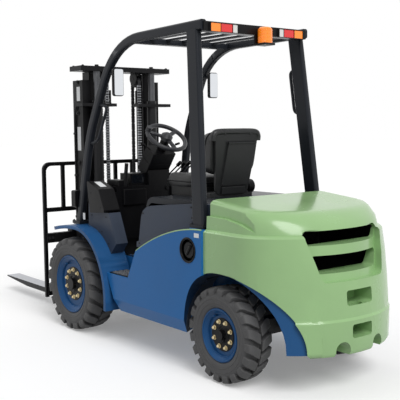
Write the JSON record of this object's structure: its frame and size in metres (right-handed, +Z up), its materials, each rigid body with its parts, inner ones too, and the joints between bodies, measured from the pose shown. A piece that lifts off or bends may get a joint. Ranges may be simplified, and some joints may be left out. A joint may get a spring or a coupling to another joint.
{
  "type": "counterbalance forklift truck",
  "caption": "Counterbalance forklift truck with pneumatic lugged tyres, two-stage tilting mast with lift chains, sliding forks, overhead guard, steered rear axle and hinged seat deck.",
  "frame": {"origin": "on the floor under the middle of the truck's length, on its centre plane", "axes": "+X forward along the forks, +Y to the driver's left, +Z up"},
  "size_m": [4.04, 1.236, 2.17],
  "materials": {
    "paint_blue": "satin",
    "paint_green": "gloss",
    "paint_grey": "satin",
    "paint_black": "satin",
    "plastic_black": "matte",
    "plastic_grey": "matte",
    "rubber": "matte",
    "cast": "matte",
    "chrome": "polished",
    "steel": "brushed",
    "vinyl": "matte",
    "amber": "gloss",
    "red": "gloss",
    "white": "gloss",
    "mirror": "polished"
  },
  "bodies": {
    "chassis": {"main_frame": "paint_blue", "front_fenders": "paint_blue", "counterweight": "paint_green", "radiator": "plastic_black", "power_unit": "cast", "floor_plate": "plastic_black", "side_covers": "plastic_grey", "cowl": "plastic_grey", "steering_column": "plastic_black", "controls": "paint_black", "overhead_guard": "paint_grey", "lamp_bar": "paint_black", "lamps_amber": "amber", "lamps_red": "red", "lamps_white": "white", "headlamps": "plastic_black", "mirror_frames": "plastic_black", "mirror_glass": "mirror", "filler_cap": "plastic_black", "drive_axle": "cast", "steer_axle": "cast"},
    "hood": {"hood": "paint_grey", "seat_frame": "plastic_black", "seat_cushions": "vinyl"},
    "steering_wheel": {"steering_wheel": "plastic_black"},
    "front_wheel_left": {"front_tyre_left": "rubber", "front_rim_left": "paint_blue"},
    "front_wheel_right": {"front_tyre_right": "rubber", "front_rim_right": "paint_blue"},
    "knuckle_left": {"knuckle_left": "cast"},
    "knuckle_right": {"knuckle_right": "cast"},
    "rear_wheel_left": {"rear_tyre_left": "rubber", "rear_rim_left": "paint_blue"},
    "rear_wheel_right": {"rear_tyre_right": "rubber", "rear_rim_right": "paint_blue"},
    "mast": {"mast_outer": "paint_black", "lift_barrels": "paint_black"},
    "inner_mast": {"mast_inner": "paint_black", "lift_rods": "steel", "chain_tails": "steel"},
    "carriage": {"carriage": "paint_black", "load_backrest": "paint_black", "lift_chains": "steel"},
    "fork_left": {"fork_left": "paint_black"},
    "fork_right": {"fork_right": "paint_black"},
    "tilt_barrels": {"tilt_barrels": "paint_black"},
    "tilt_rods": {"tilt_rods": "chrome"}
  },
  "joints": [
    {"name": "mast_tilt", "type": "hinge", "parent": "chassis", "child": "mast", "pos_m": [0.31, 0, 0.35], "axis": [0, 1, 0], "range_deg": [-10, 6]},
    {"name": "mast_lift", "type": "slide", "parent": "mast", "child": "inner_mast", "axis": [0, 0, 1], "range_m": [-0.045, 1.455]},
    {"name": "carriage_lift", "type": "slide", "parent": "inner_mast", "child": "carriage", "axis": [0, 0, 1], "range_m": [-0.045, 1.455], "deforming": ["lift_chains"]},
    {"name": "fork_left_slide", "type": "slide", "parent": "carriage", "child": "fork_left", "axis": [0, 1, 0], "range_m": [-0.2, 0.15]},
    {"name": "fork_right_slide", "type": "slide", "parent": "carriage", "child": "fork_right", "axis": [0, -1, 0], "range_m": [-0.2, 0.15]},
    {"name": "tilt_barrel_swing", "type": "hinge", "parent": "chassis", "child": "tilt_barrels", "pos_m": [-0.11, 0, 0.56], "axis": [0, 1, 0], "range_deg": [-3.2, 2]},
    {"name": "tilt_rod_slide", "type": "slide", "parent": "tilt_barrels", "child": "tilt_rods", "axis": [0.9943, 0, 0.1065], "range_m": [-0.047, 0.029]},
    {"name": "hood_hinge", "type": "hinge", "parent": "chassis", "child": "hood", "pos_m": [-1.235, 0, 1.038], "axis": [0, -1, 0], "range_deg": [0, 50]},
    {"name": "steering", "type": "hinge", "parent": "chassis", "child": "steering_wheel", "pos_m": [-0.123, 0, 1.446], "axis": [-0.6018, 0, 0.7986], "continuous": true},
    {"name": "front_wheel_left_spin", "type": "hinge", "parent": "chassis", "child": "front_wheel_left", "pos_m": [0.31, 0.508, 0.35], "axis": [0, 1, 0], "continuous": true},
    {"name": "front_wheel_right_spin", "type": "hinge", "parent": "chassis", "child": "front_wheel_right", "pos_m": [0.31, -0.508, 0.35], "axis": [0, 1, 0], "continuous": true},
    {"name": "knuckle_left_steer", "type": "hinge", "parent": "chassis", "child": "knuckle_left", "pos_m": [-1.39, 0.31, 0.291], "axis": [0, 0, 1], "range_deg": [-70, 70]},
    {"name": "knuckle_right_steer", "type": "hinge", "parent": "chassis", "child": "knuckle_right", "pos_m": [-1.39, -0.31, 0.291], "axis": [0, 0, 1], "range_deg": [-70, 70]},
    {"name": "rear_wheel_left_spin", "type": "hinge", "parent": "knuckle_left", "child": "rear_wheel_left", "pos_m": [-1.39, 0.466, 0.291], "axis": [0, 1, 0], "continuous": true},
    {"name": "rear_wheel_right_spin", "type": "hinge", "parent": "knuckle_right", "child": "rear_wheel_right", "pos_m": [-1.39, -0.466, 0.291], "axis": [0, 1, 0], "continuous": true}
  ],
  "couplings": [
    {"joint": "carriage_lift", "follows": "mast_lift", "ratio": 1},
    {"joint": "tilt_barrel_swing", "follows": "mast_tilt", "ratio": 0.29},
    {"joint": "tilt_rod_slide", "follows": "mast_tilt", "m_per_rad": 0.2565},
    {"joint": "knuckle_right_steer", "follows": "knuckle_left_steer", "ratio": 1}
  ]
}
